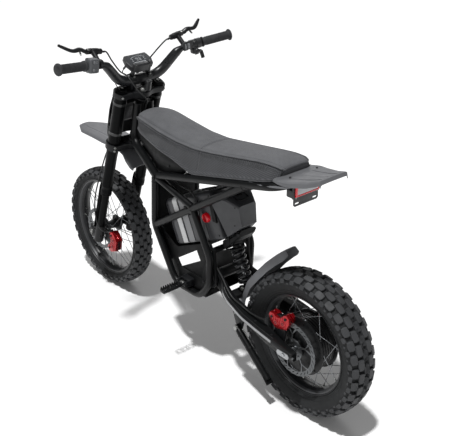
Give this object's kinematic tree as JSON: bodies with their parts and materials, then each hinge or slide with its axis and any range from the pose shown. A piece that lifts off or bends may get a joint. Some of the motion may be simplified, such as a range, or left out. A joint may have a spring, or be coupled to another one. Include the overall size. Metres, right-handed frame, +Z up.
{
  "type": "electric dirt bike",
  "caption": "Pedal-less electric dirt bike: laced wheels, rear hub motor, upside-down fork, long seat over an open tube frame, folding foot pegs and a coil-over rear shock.",
  "frame": {"origin": "on the ground, midway between the front and rear ends of the machine", "axes": "+X forward, +Y to the rider's left, +Z up"},
  "size_m": [1.726, 0.7872, 1.1619],
  "materials": {
    "black_steel": "satin black paint",
    "black_alloy": "satin black anodised",
    "grey_plastic": "fine moulded grain",
    "dark_plastic": "moulded, satin",
    "seat_vinyl": "woven vinyl over foam",
    "tyre_rubber": "knobbed rubber",
    "grip_rubber": "soft rubber",
    "bright_steel": "bare steel",
    "red_anodised": "red anodised",
    "red_plastic": "smooth",
    "clear_lens": "clear, slightly smoked",
    "hose_rubber": "smooth black"
  },
  "bodies": {
    "frame": {"frame_neck": "black_steel", "seat_rail_loop": "black_steel", "frame_side_left": "black_steel", "frame_side_right": "black_steel", "belly_frame": "black_steel", "battery_case": "dark_plastic", "controller_box": "dark_plastic", "side_panel_left": "grey_plastic", "side_panel_right": "grey_plastic", "seat_cushion": "seat_vinyl", "tail_fender": "grey_plastic", "tail_light_housing": "dark_plastic", "tail_light_lens": "clear_lens", "rear_brake_hose": "hose_rubber"},
    "power_button": {"main_switch": "red_plastic"},
    "left_peg": {"foot_peg_left": "black_alloy"},
    "right_peg": {"foot_peg_right": "black_alloy"},
    "swingarm_unit": {"swingarm": "black_alloy", "rear_hugger": "grey_plastic", "rear_axle": "bright_steel", "rear_caliper": "red_anodised", "rear_hose_lower": "hose_rubber"},
    "side_stand": {"kickstand": "black_steel"},
    "rear_wheel": {"rear_hub_motor": "black_alloy", "rear_rim": "black_alloy", "rear_tyre": "tyre_rubber", "rear_rotor": "bright_steel"},
    "shock_upper": {"shock_body": "black_alloy", "shock_spring": "black_steel"},
    "shock_lower": {"shock_rod": "bright_steel"},
    "fork_upper": {"steering_stem": "black_alloy", "top_clamp": "black_alloy", "fork_tube_left": "black_alloy", "fork_tube_right": "black_alloy", "number_plate": "dark_plastic", "headlight_lens": "clear_lens", "front_fender": "grey_plastic", "handlebar": "black_alloy", "display": "dark_plastic", "grip_left": "grip_rubber", "grip_right": "grip_rubber", "brake_perch_left": "black_alloy", "brake_perch_right": "black_alloy", "throttle_body": "dark_plastic", "switch_left": "dark_plastic", "front_brake_hose": "hose_rubber"},
    "left_lever": {"brake_lever_left": "black_alloy"},
    "right_lever": {"brake_lever_right": "black_alloy"},
    "thumb_throttle": {"throttle_lever": "grip_rubber"},
    "horn": {"horn_button": "red_plastic"},
    "lights": {"light_switch": "grey_plastic"},
    "power_pad": {"power_key": "grey_plastic"},
    "mode_pad": {"mode_rocker": "grey_plastic"},
    "fork_lower": {"fork_leg_left": "black_alloy", "fork_leg_right": "black_alloy", "front_caliper": "red_anodised"},
    "front_wheel": {"front_hub": "black_alloy", "front_rim": "black_alloy", "front_tyre": "tyre_rubber", "front_rotor": "bright_steel"}
  },
  "joints": [
    {"name": "steering", "type": "hinge", "parent": "frame", "child": "fork_upper", "pos_m": [0.3058, 0, 0.949], "axis": [-0.3223, 0, 0.9466], "range_deg": [-35, 35], "deforming": ["rear_brake_hose"]},
    {"name": "fork_travel", "type": "slide", "parent": "fork_upper", "child": "fork_lower", "axis": [-0.3223, 0, 0.9466], "range_m": [0, 0.07], "stiffness_N_per_m": 9000, "springref_m": -0.04, "deforming": ["front_brake_hose"]},
    {"name": "front_wheel_spin", "type": "hinge", "parent": "fork_lower", "child": "front_wheel", "pos_m": [0.6008, 0, 0.2634], "axis": [0, 1, 0], "continuous": true},
    {"name": "swingarm_pivot", "type": "hinge", "parent": "frame", "child": "swingarm_unit", "pos_m": [-0.1942, 0, 0.375], "axis": [0, 1, 0], "range_deg": [0, 10], "stiffness_Nm_per_rad": 1300, "springref_deg": -9.74, "deforming": ["rear_hose_lower"]},
    {"name": "rear_wheel_spin", "type": "hinge", "parent": "swingarm_unit", "child": "rear_wheel", "pos_m": [-0.5992, 0, 0.265], "axis": [0, 1, 0], "continuous": true},
    {"name": "shock_tilt", "type": "hinge", "parent": "frame", "child": "shock_upper", "pos_m": [-0.2272, 0, 0.503], "axis": [0, 1, 0], "range_deg": [0, 3.8]},
    {"name": "shock_travel", "type": "slide", "parent": "shock_upper", "child": "shock_lower", "axis": [0.3875, 0, 0.9219], "range_m": [0, 0.015], "deforming": ["shock_spring"]},
    {"name": "kickstand_fold", "type": "hinge", "parent": "swingarm_unit", "child": "side_stand", "pos_m": [-0.3492, 0.095, 0.24], "axis": [0, 1, 0], "range_deg": [-65, 8]},
    {"name": "left_peg_fold", "type": "hinge", "parent": "frame", "child": "left_peg", "pos_m": [-0.0692, 0.124, 0.311], "axis": [1, 0, 0], "range_deg": [0, 80], "stiffness_Nm_per_rad": 0.6, "springref_deg": -34.38},
    {"name": "right_peg_fold", "type": "hinge", "parent": "frame", "child": "right_peg", "pos_m": [-0.0692, -0.124, 0.311], "axis": [-1, 0, 0], "range_deg": [0, 80], "stiffness_Nm_per_rad": 0.6, "springref_deg": -34.38},
    {"name": "left_brake", "type": "hinge", "parent": "fork_upper", "child": "left_lever", "pos_m": [0.3348, 0.215, 1.124], "axis": [-0.59, -0.2156, 0.7781], "range_deg": [0, 18], "stiffness_Nm_per_rad": 0.5, "springref_deg": -22.92},
    {"name": "right_brake", "type": "hinge", "parent": "fork_upper", "child": "right_lever", "pos_m": [0.3348, -0.215, 1.124], "axis": [0.59, -0.2156, -0.7781], "range_deg": [0, 18], "stiffness_Nm_per_rad": 0.5, "springref_deg": -22.92},
    {"name": "thumb_throttle_turn", "type": "hinge", "parent": "fork_upper", "child": "thumb_throttle", "pos_m": [0.26671, -0.2255, 1.06141], "axis": [-0.2017, -0.9725, 0.1165], "range_deg": [0, 35], "stiffness_Nm_per_rad": 0.05, "springref_deg": -28.65},
    {"name": "horn_press", "type": "slide", "parent": "fork_upper", "child": "horn", "axis": [1, 0, 0], "range_m": [0, 0.0018], "stiffness_N_per_m": 300, "springref_m": -0.002},
    {"name": "light_slide", "type": "slide", "parent": "fork_upper", "child": "lights", "axis": [0, 0.9929, 0.119], "range_m": [-0.0015, 0.0015]},
    {"name": "power_press", "type": "slide", "parent": "fork_upper", "child": "power_pad", "axis": [1, 0, 0], "range_m": [0, 0.0015], "stiffness_N_per_m": 300, "springref_m": -0.002},
    {"name": "mode_rock", "type": "hinge", "parent": "fork_upper", "child": "mode_pad", "pos_m": [0.25852, -0.18896, 1.09303], "axis": [0, 0.9929, -0.119], "range_deg": [-5, 5], "stiffness_Nm_per_rad": 0.02},
    {"name": "main_switch_press", "type": "slide", "parent": "frame", "child": "power_button", "axis": [0, -1, 0], "range_m": [0, 0.003], "stiffness_N_per_m": 400, "springref_m": -0.003}
  ],
  "couplings": [
    {"joint": "shock_tilt", "follows": "swingarm_pivot", "ratio": 0.3714},
    {"joint": "shock_travel", "follows": "swingarm_pivot", "m_per_rad": 0.08342}
  ]
}
